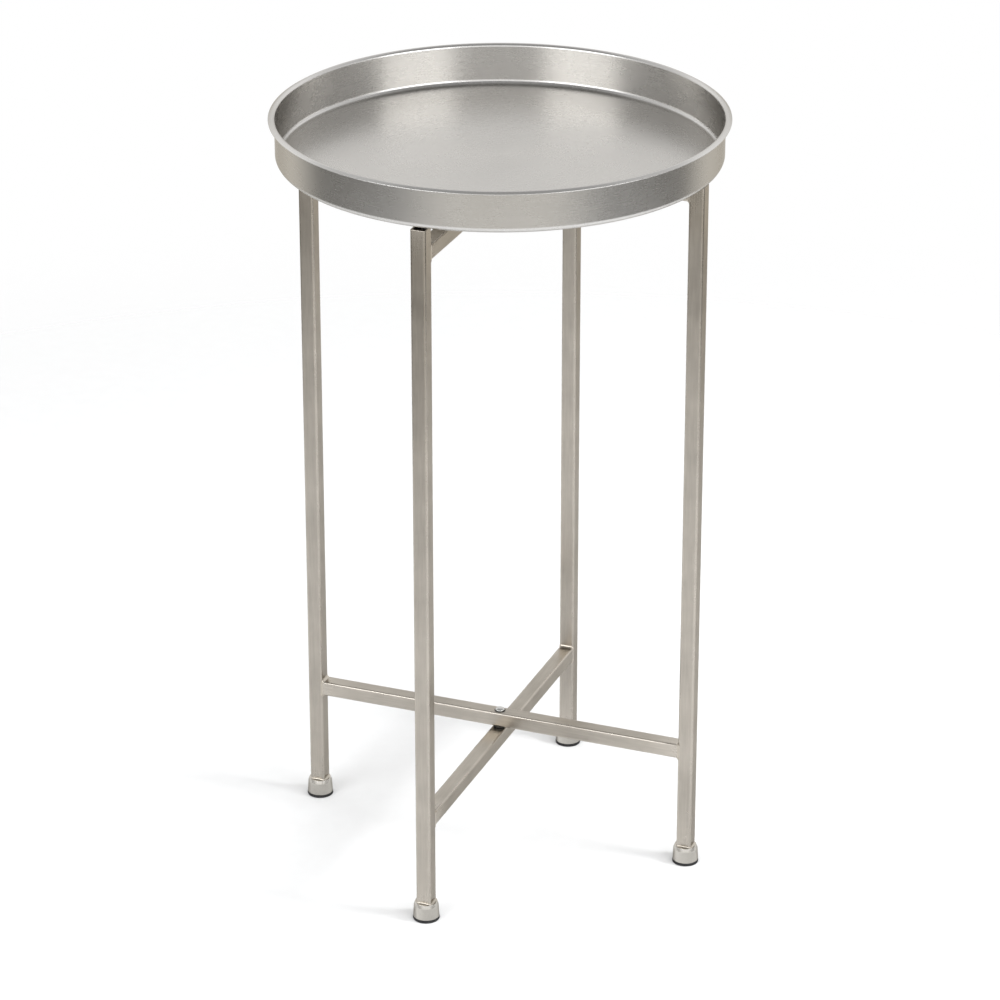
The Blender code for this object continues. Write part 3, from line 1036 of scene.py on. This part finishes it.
def bar_bead(name, flush_top):
    """A weld bead. The leg's face is at X 0 and the bar runs out along +X."""
    rings = []
    for i, (spot, out) in enumerate(path_round(bar_size.z, TUBE_CORNER)):
        upright = out.y**2
        hug = 0.0 if flush_top and out.y > 0 else upright  # 1 where hollow, 0 where flush
        ripple = RIPPLE * math.sin(i * RIPPLE_TURN) * hug
        skin = Vector((0, spot.x, spot.y))
        away = Vector((0, out.x, out.y))
        corner_back = TUBE_CORNER * (1 - math.sqrt(max(0.0, 1 - out.x**2)))
        on_leg = skin + away * (BEAD_REACH + ripple) * hug - away * BEAD_SINK * (1 - hug)
        on_leg.x = -corner_back - BEAD_SINK - SIDE_DEPTH * out.x**2 - TOP_DEPTH * (upright - hug)
        on_bar = skin - away * BEAD_SINK
        on_bar.x = (BEAD_REACH + ripple) * hug + FLUSH_REACH * (1 - hug)
        tucked = skin + away * BEAD_HOLLOW + Vector((BEAD_HOLLOW, 0, 0))
        straight = (on_leg + on_bar) / 2 + away * FLUSH_CROWN
        curve = hollow(on_leg, straight.lerp(tucked, hug), on_bar, CURVE_STEPS)
        deep = skin - away * BEAD_ROOT
        root = [deep + Vector((BEAD_ROOT, 0, 0)), deep - Vector((BEAD_ROOT, 0, 0))]
        rings.append(curve + root)
    return ringed(name, rings)


beads = {False: bar_bead("bar_bead", False), True: bar_bead("bar_bead_flush", True)}
print("points in a bead:", len(beads[False].vertices))

# %% Eight welds
weld_count = 0
for frame_name, turn in FRAMES.items():
    ends = [leg for leg in LEGS if leg.startswith(frame_name)]
    for leg, flip in zip(ends, (0.0, math.pi)):
        inward = Vector((math.cos(turn + flip), math.sin(turn + flip), 0))
        for tier in ("top", "low"):
            spot = middle(leg_part("leg", leg)) + inward * leg_size.x / 2
            spot.z = middle(f"{frame_name}_{tier}_bar").z
            flush = frame_name == "main" and tier == "top"
            show(
                f"weld_{tier}_{leg}", beads[flush], weld_nickel, f"{frame_name}_frame",
                (), spot, (0, 0, turn + flip),
            )
            weld_count += 1
print("bar welds:", weld_count)

# %% [markdown]
# ## Ferrules
#
# A ferrule is a small turned shoe on the end of each leg. From the floor up it narrows very
# slightly, turns in over a bevelled shoulder, and ends in a flat top with a square socket for
# the leg. Below it is bored for the stem of a rubber foot.
#
# Its outside is a lathe outline, and the last two rings change from round to square. The square
# rings put a point in the same directions as the round ones, so that the faces between them stay
# even and the flat top doesn't crease.

# %% A rounded square seen from its middle
def square_reach(angle, side, corner):
    """How far it is from the middle of a rounded square to its edge, in this direction."""
    big, small = sorted((abs(math.cos(angle)), abs(math.sin(angle))), reverse=True)
    half, flat = side / 2, side / 2 - corner
    if half * small / big <= flat:
        return half / big
    along_way = flat * (big + small)
    return along_way + math.sqrt(along_way**2 - 2 * flat**2 + corner**2)


corner_reach = square_reach(math.pi / 4, leg_size.x, TUBE_CORNER)
print("a leg reaches, mm:", round(corner_reach / MM, 2), "at its corners")

# %% The ferrule
FERRULE_AROUND = 96
SOCKET_GAP = 0.3 * MM
SOCKET_DEPTH = 6.0 * MM
SHOULDER_WIDTH = 1.0 * MM
SHOULDER_HEIGHT = 2.9 * MM
FLARE = 0.6 * MM
STEM_BORE = 4.3 * MM
TOP_LAND = 0.6 * MM  # how much of the flat top is still round, before it turns square
SOFT_EDGE = 0.35 * MM
SHOULDER_BEND = 1.2 * MM

ferrule_low, ferrule_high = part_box("main_ferrule_left")
ferrule_tall = ferrule_high.z - ferrule_low.z
base_radius = (ferrule_high.x - ferrule_low.x) / 2
body_radius = base_radius - FLARE
top_radius = body_radius - SHOULDER_WIDTH
shoulder = ferrule_tall - SHOULDER_HEIGHT
socket_floor = ferrule_tall - SOCKET_DEPTH
ferrule_skin = filleted(
    [
        (STEM_BORE, socket_floor, 0),
        (STEM_BORE, 0, 0.3 * MM),
        (base_radius, 0, SOFT_EDGE),
        (body_radius, shoulder, SHOULDER_BEND),
        (top_radius, ferrule_tall, SOFT_EDGE),
        (top_radius - TOP_LAND, ferrule_tall, 0),
    ],
    closed=False,
)
ferrule_turns = even_turns(FERRULE_AROUND)
ferrule_rings = turned_rings(ferrule_skin, ferrule_turns)
socket = leg_size.x + 2 * SOCKET_GAP
for rise in (ferrule_tall, socket_floor):
    square_ring = []
    for a in ferrule_turns:
        reach = square_reach(a, socket, TUBE_CORNER + SOCKET_GAP)
        square_ring.append((reach * math.cos(a), reach * math.sin(a), rise))
    ferrule_rings.append(square_ring)
ferrule_mesh = ringed("ferrule", ferrule_rings)
for leg, body in LEGS.items():
    part = leg_part("ferrule", leg)
    show(f"ferrule_{leg}", ferrule_mesh, foot_nickel, body, [part], underside(part))
print("ferrule mm:", round(ferrule_tall / MM, 1), "tall,", round(base_radius * 2 / MM, 1), "across")

# %% [markdown]
# The leg is fixed in its socket by a small bead of weld all the way round. It reaches out
# furthest on the flats, where the ferrule's top is widest, and only a little at the corners.

# %% The bead round a leg
COLLAR_RISE = 1.2 * MM
COLLAR_REACH = 1.5 * MM  # on the flats
COLLAR_LEAST = 0.3 * MM  # at the corners
COLLAR_MARGIN = 0.4 * MM  # what it leaves of the ferrule's top
COLLAR_HOLLOW = 0.2 * MM
OUT_RIPPLE = 0.05 * MM
UP_RIPPLE = 0.08 * MM
SMALL_CURVE_STEPS = 6
UP = Vector((0, 0, 1))

collar_rings = []
for i, (spot, out) in enumerate(path_round(leg_size.x, TUBE_CORNER)):
    space = top_radius - COLLAR_MARGIN - spot.length
    reach = min(COLLAR_REACH, max(COLLAR_LEAST, space)) + OUT_RIPPLE * math.sin(i * 2.1)
    rise = COLLAR_RISE + UP_RIPPLE * math.sin(i * 1.7)
    skin = Vector((spot.x, spot.y, 0))
    away = Vector((out.x, out.y, 0))
    on_top = skin + away * reach - UP * BEAD_SINK
    on_leg = skin - away * BEAD_SINK + UP * rise
    tucked = skin + away * COLLAR_HOLLOW + UP * COLLAR_HOLLOW
    # Two points inside the metal close the section where it can't be seen.
    in_leg = skin - away * 0.5 * MM + UP * 0.3 * MM
    in_socket = skin + away * 0.15 * MM - UP * 0.8 * MM
    collar_rings.append(hollow(on_top, tucked, on_leg, SMALL_CURVE_STEPS) + [in_leg, in_socket])
collar_mesh = ringed("leg_collar", collar_rings)
for leg, body in LEGS.items():
    spot = upside(leg_part("ferrule", leg))
    show(f"collar_{leg}", collar_mesh, weld_nickel, body, (), spot)
print("collar bead points:", len(collar_mesh.vertices))

# %% [markdown]
# ## Rubber feet
#
# A glide is moulded rubber with a stem that presses up into the ferrule. A mould leaves a fine
# line round its edge, and the underside has shallow rings so that it grips. Both are turned from
# one outline.

# %% A glide's sizes
GLIDE_SHOWS = 2.3 * MM  # how much shows under the ferrule
STEM_RADIUS = 4.0 * MM
DIMPLE_RADIUS = 2.6 * MM
DIMPLE_DEPTH = 0.25 * MM
DIMPLE_SLOPE = 0.3 * MM
GRIP_RINGS = 3
GRIP_START = 4.3 * MM
GRIP_PITCH = 1.9 * MM
GRIP_WIDTH = 1.0 * MM
GRIP_DEPTH = 0.3 * MM
GRIP_SLOPE = 0.25 * MM
MOULD_SOFT = 0.1 * MM
MOULD_LINE = 0.06 * MM  # how far the mould's line stands out
MOULD_LINE_HALF = 0.08 * MM
GLIDE_EDGE = 0.6 * MM
TOP_EDGE = 0.25 * MM
STEM_EDGE = 0.7 * MM
SMALL_STEP = math.radians(18)  # small parts need fewer steps round a corner

glide_low, glide_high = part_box("main_glide_left")
glide_radius = (glide_high.x - glide_low.x) / 2
glide_tall = glide_high.z - glide_low.z
print("glide mm:", round(glide_radius * 2 / MM, 1), "across,", round(glide_tall / MM, 1), "tall")

# %% A glide's outline
glide_side = glide_radius - MOULD_LINE
line_height = GLIDE_SHOWS * 0.55
glide_corners = [
    (0, DIMPLE_DEPTH, 0),
    (DIMPLE_RADIUS, DIMPLE_DEPTH, MOULD_SOFT),
    (DIMPLE_RADIUS + DIMPLE_SLOPE, 0, MOULD_SOFT),
]
for k in range(GRIP_RINGS):
    start = GRIP_START + GRIP_PITCH * k
    glide_corners += [
        (start, 0, MOULD_SOFT),
        (start + GRIP_SLOPE, GRIP_DEPTH, MOULD_SOFT),
        (start + GRIP_WIDTH - GRIP_SLOPE, GRIP_DEPTH, MOULD_SOFT),
        (start + GRIP_WIDTH, 0, MOULD_SOFT),
    ]
glide_corners += [
    (glide_side, 0, GLIDE_EDGE),
    (glide_side, line_height - MOULD_LINE_HALF, 0),
    (glide_radius, line_height, 0),
    (glide_side, line_height + MOULD_LINE_HALF, 0),
    (glide_side, GLIDE_SHOWS, TOP_EDGE),
    (STEM_RADIUS, GLIDE_SHOWS, 0),
    (STEM_RADIUS, glide_tall, STEM_EDGE),
    (0, glide_tall, 0),
]
glide_outline = filleted(glide_corners, step=SMALL_STEP)
print("glide outline points:", len(glide_outline))

# %% Four glides
GLIDE_AROUND = 96

glide_mesh = spun("glide", glide_outline, GLIDE_AROUND)
for leg, body in LEGS.items():
    part = leg_part("glide", leg)
    show(f"glide_{leg}", glide_mesh, foot_rubber, body, [part], underside(part))
print("glide points:", len(glide_mesh.vertices))

# %% [markdown]
# ## Rivets and washers
#
# The frames turn on two solid rivets. Each has a low domed head above the main bar. Its foot,
# under the cross bar, was hammered over, so it is flatter. A thick dark washer between the bars
# keeps them from rubbing. A thin near-black ring round each head is painted shade, the crevice
# shadow where the head meets the bar. It is part of the rivet's mesh, and stores that painted shade
# for the finish to read.

# %% A rivet's head
HEAD_HEIGHT = 1.9 * MM
# The ring of painted shade round a head, where it sits on the bar:
SHADE_RING_WIDTH = 0.6 * MM
SHADE_RING_FLAT = 0.8  # the share of its width that slopes gently, before its outer edge
SHADE_RING_EDGE = 0.07 * MM  # its height there
SHADE_RING_SEAT = 0.13 * MM  # and against the head
SHADE_RING_HEIGHT = 0.3 * MM  # the painted shade climbs this far up the head
DOME_STEPS = 12


def dome(radius, rim, flat):
    """Half of a domed head's outline: the ring of painted shade, the rim, and the dome up to its
    middle.
    """
    points = [
        Vector((radius + SHADE_RING_WIDTH, 0)),
        Vector((radius + SHADE_RING_WIDTH * SHADE_RING_FLAT, SHADE_RING_EDGE)),
        Vector((radius, SHADE_RING_SEAT)),
        Vector((radius, SHADE_RING_HEIGHT)),
        Vector((radius, rim)),
    ]
    for k in range(1, DOME_STEPS + 1):
        swing = math.pi / 2 * k / DOME_STEPS
        out = flat + (radius - flat) * math.cos(swing)
        points.append(Vector((out, rim + (HEAD_HEIGHT - rim) * math.sin(swing))))
    points.append(Vector((0, HEAD_HEIGHT)))
    return points


rivet_low, rivet_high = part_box("low_rivet")
head_radius = (rivet_high.x - rivet_low.x) / 2
high_dome = dome(head_radius, rim=0.5 * MM, flat=0.4 * MM)
flat_dome = dome(head_radius * 0.97, rim=0.7 * MM, flat=1.6 * MM)
print("points in a head's outline:", len(high_dome))

# %% Two rivets
SHANK_RADIUS = 2.5 * MM
RIVET_AROUND = 72

rivet_tall = rivet_high.z - rivet_low.z
head_seat = rivet_tall - HEAD_HEIGHT
head = [Vector((p.x, head_seat + p.y)) for p in high_dome]
hammered = [Vector((p.x, HEAD_HEIGHT - p.y)) for p in reversed(flat_dome)]
shank = [Vector((SHANK_RADIUS, HEAD_HEIGHT)), Vector((SHANK_RADIUS, head_seat))]
rivet_mesh = spun("rivet", shank[1:] + head + hammered + shank[:1], RIVET_AROUND)

# Painted shade: points near where a head meets a bar are marked for the near-black ring.
crevice_shade = rivet_mesh.attributes.new("crevice_shade", "FLOAT", "POINT")
for vert in rivet_mesh.vertices:
    over_seat = max(vert.co.z - head_seat, HEAD_HEIGHT - vert.co.z)
    crevice_shade.data[vert.index].value = 1.0 if over_seat < SHADE_RING_HEIGHT else 0.0
for tier in ("top", "low"):
    part = f"{tier}_rivet"
    spot = underside(part)
    show(f"rivet_{tier}", rivet_mesh, rivet_steel, "main_frame", [part], spot)
print("rivet mm:", round(rivet_tall / MM, 1), "long, head", round(head_radius * 2 / MM, 1), "across")

# %% [markdown]
# A washer is punched from sheet. The punch rolls one edge over and leaves the other crisp, so its
# four corners aren't alike.

# %% Two washers
ROLLED_EDGE = 0.3 * MM
CRISP_EDGE = 0.15 * MM

washer_size = extent("low_washer")
half = washer_size.z / 2
washer_outline = filleted(
    [
        (HOLE_RADIUS, -half, CRISP_EDGE),
        (washer_size.x / 2, -half, ROLLED_EDGE),
        (washer_size.x / 2, half, CRISP_EDGE),
        (HOLE_RADIUS, half, ROLLED_EDGE),
    ],
    step=SMALL_STEP,
)
washer_mesh = spun("washer", washer_outline, RIVET_AROUND)
for tier in ("top", "low"):
    part = f"{tier}_washer"
    spot = middle(part)
    show(f"washer_{tier}", washer_mesh, washer_steel, "main_frame", [part], spot)
print("washer mm:", round(washer_size.x / MM, 1), "across,", round(washer_size.z / MM, 1), "thick")

# %% [markdown]
# ## Saddles under the tray
#
# Two short channels under the tray drop over the main top bar, so the tray can't slide or turn.
# Each is sheet bent over a block: soft outside corners, tighter inside ones, and cut ends with
# the burr taken off. The outline is a U, stacked along its length, with the first and last
# rings drawn in a little for the dressed ends.

# %% A saddle's outline
SADDLE_WALL = 1.8 * MM
SADDLE_WEB = 2.7 * MM
SADDLE_BEND = 0.8 * MM
INNER_BEND = 0.4 * MM
TIP_EDGE = 0.35 * MM
SADDLE_STEP = math.radians(15)
saddle_size = extent("tray_saddle_left")


def saddle_outline(inset):
    """The U of a saddle, seen along X, with its top at height 0 and its skin drawn in by inset."""
    outer = saddle_size.y / 2 - inset
    inner = saddle_size.y / 2 - SADDLE_WALL + inset
    tip = -saddle_size.z + inset
    web = -SADDLE_WEB + inset
    corners = [
        (-outer, -inset, SADDLE_BEND),
        (-outer, tip, TIP_EDGE),
        (-inner, tip, TIP_EDGE),
        (-inner, web, INNER_BEND),
        (inner, web, INNER_BEND),
        (inner, tip, TIP_EDGE),
        (outer, tip, TIP_EDGE),
        (outer, -inset, SADDLE_BEND),
    ]
    return filleted(corners, step=SADDLE_STEP)


print("points in a saddle's outline:", len(saddle_outline(0.0)))

# %% Two saddles
END_EDGE = 0.25 * MM
END_STEPS = 4

half_length = saddle_size.x / 2
dressed = rounded_edge(END_EDGE, END_STEPS)
saddle_rings = []
for inset, back in dressed:
    saddle_rings.append([(back - half_length, p.x, p.y) for p in saddle_outline(inset)])
for inset, back in reversed(dressed):
    saddle_rings.append([(half_length - back, p.x, p.y) for p in saddle_outline(inset)])
saddle_mesh = ringed("saddle", saddle_rings, loop=False)
for end in ("left", "right"):
    part = f"tray_saddle_{end}"
    show(f"saddle_{end}", saddle_mesh, saddle_nickel, "tray", [part], upside(part))
print("saddle mm:", [round(size / MM, 1) for size in saddle_size])

# %% [markdown]
# Each saddle is tacked to the tray with four short welds, two along each side. A tack is a
# fillet that swells and dies away, so its sections grow and shrink along its length.

# %% A tack's sections
TACK_LENGTH = 8 * MM
TACK_REACH = 1.7 * MM
TACK_STEPS = 12
TACK_END = 0.985  # its ends stop just short of nothing, so that every face has some area
TACK_RIPPLE = 0.06
TACK_HOLLOW = 0.25  # how near to the corner its curve is pulled, as a share of its size
tray_gap = tray_low.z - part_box("tray_saddle_left")[1].z


def tack_rings(centre_x, side_y, facing):
    """The sections of one tack along X, in the corner between a saddle's side and the tray."""
    rings = []
    for k in range(TACK_STEPS + 1):
        share = TACK_END * (2 * k / TACK_STEPS - 1)
        swell = math.sqrt(1 - share**2)
        size = TACK_REACH * swell * (1 + TACK_RIPPLE * math.sin(k * 2.2))
        outer = Vector((size, tray_gap + 0.03 * MM))
        lower = Vector((-BEAD_SINK, -size))
        root = Vector((-BEAD_ROOT * swell, tray_gap + 0.1 * MM))
        pulled = Vector((size, -size)) * TACK_HOLLOW
        curve = hollow(outer, pulled, lower, SMALL_CURVE_STEPS)
        along_x = centre_x + share * TACK_LENGTH / 2
        rings.append([(along_x, side_y + facing * p.x, p.y) for p in curve + [root]])
    return rings


print("sections in a tack:", len(tack_rings(0.0, 0.0, 1)))

# %% Four tacks on each saddle
tack_bm = bmesh.new()
for centre_x in (-saddle_size.x / 4, saddle_size.x / 4):
    for facing in (-1, 1):
        one_tack = ringed("tack", tack_rings(centre_x, facing * saddle_size.y / 2, facing), loop=False)
        tack_bm.from_mesh(one_tack)
        bpy.data.meshes.remove(one_tack)
tacks = bpy.data.meshes.new("saddle_tacks")
tack_bm.to_mesh(tacks)
tack_bm.free()
for end in ("left", "right"):
    spot = upside(f"tray_saddle_{end}")
    show(f"tacks_{end}", tacks, weld_nickel, "tray", (), spot)
print("tack points on each saddle:", len(tacks.vertices))
